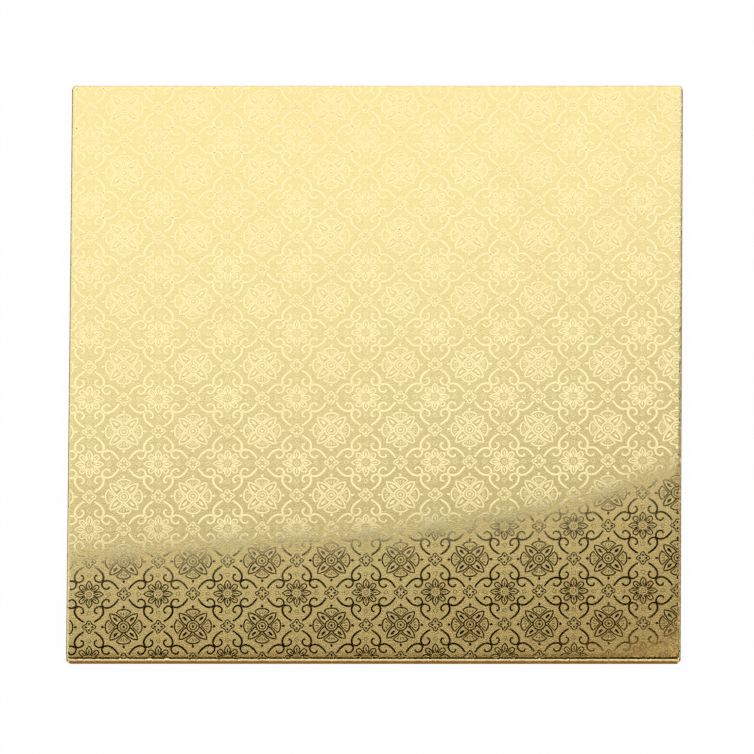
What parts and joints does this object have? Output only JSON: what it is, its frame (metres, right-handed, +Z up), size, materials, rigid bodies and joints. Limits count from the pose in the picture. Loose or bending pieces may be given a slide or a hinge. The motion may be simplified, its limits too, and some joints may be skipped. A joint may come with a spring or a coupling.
{
  "type": "cake board",
  "caption": "Flat square board wrapped in embossed gold foil, with rounded edges and a paper-lined underside; a cake rests on its top.",
  "frame": {"origin": "middle of the underside", "axes": "+Z up through the board, +X to the right and +Y to the back as it lies in the picture"},
  "size_m": [0.254, 0.254, 0.0063],
  "materials": {
    "greyboard": "plain greyboard",
    "gold_foil": "gold lacquered foil, finely stippled, with polished embossing",
    "lining_paper": "matte white paper"
  },
  "bodies": {
    "root": {"core_board": "greyboard", "foil_wrap": "gold_foil", "underside_paper": "lining_paper"}
  },
  "joints": []
}
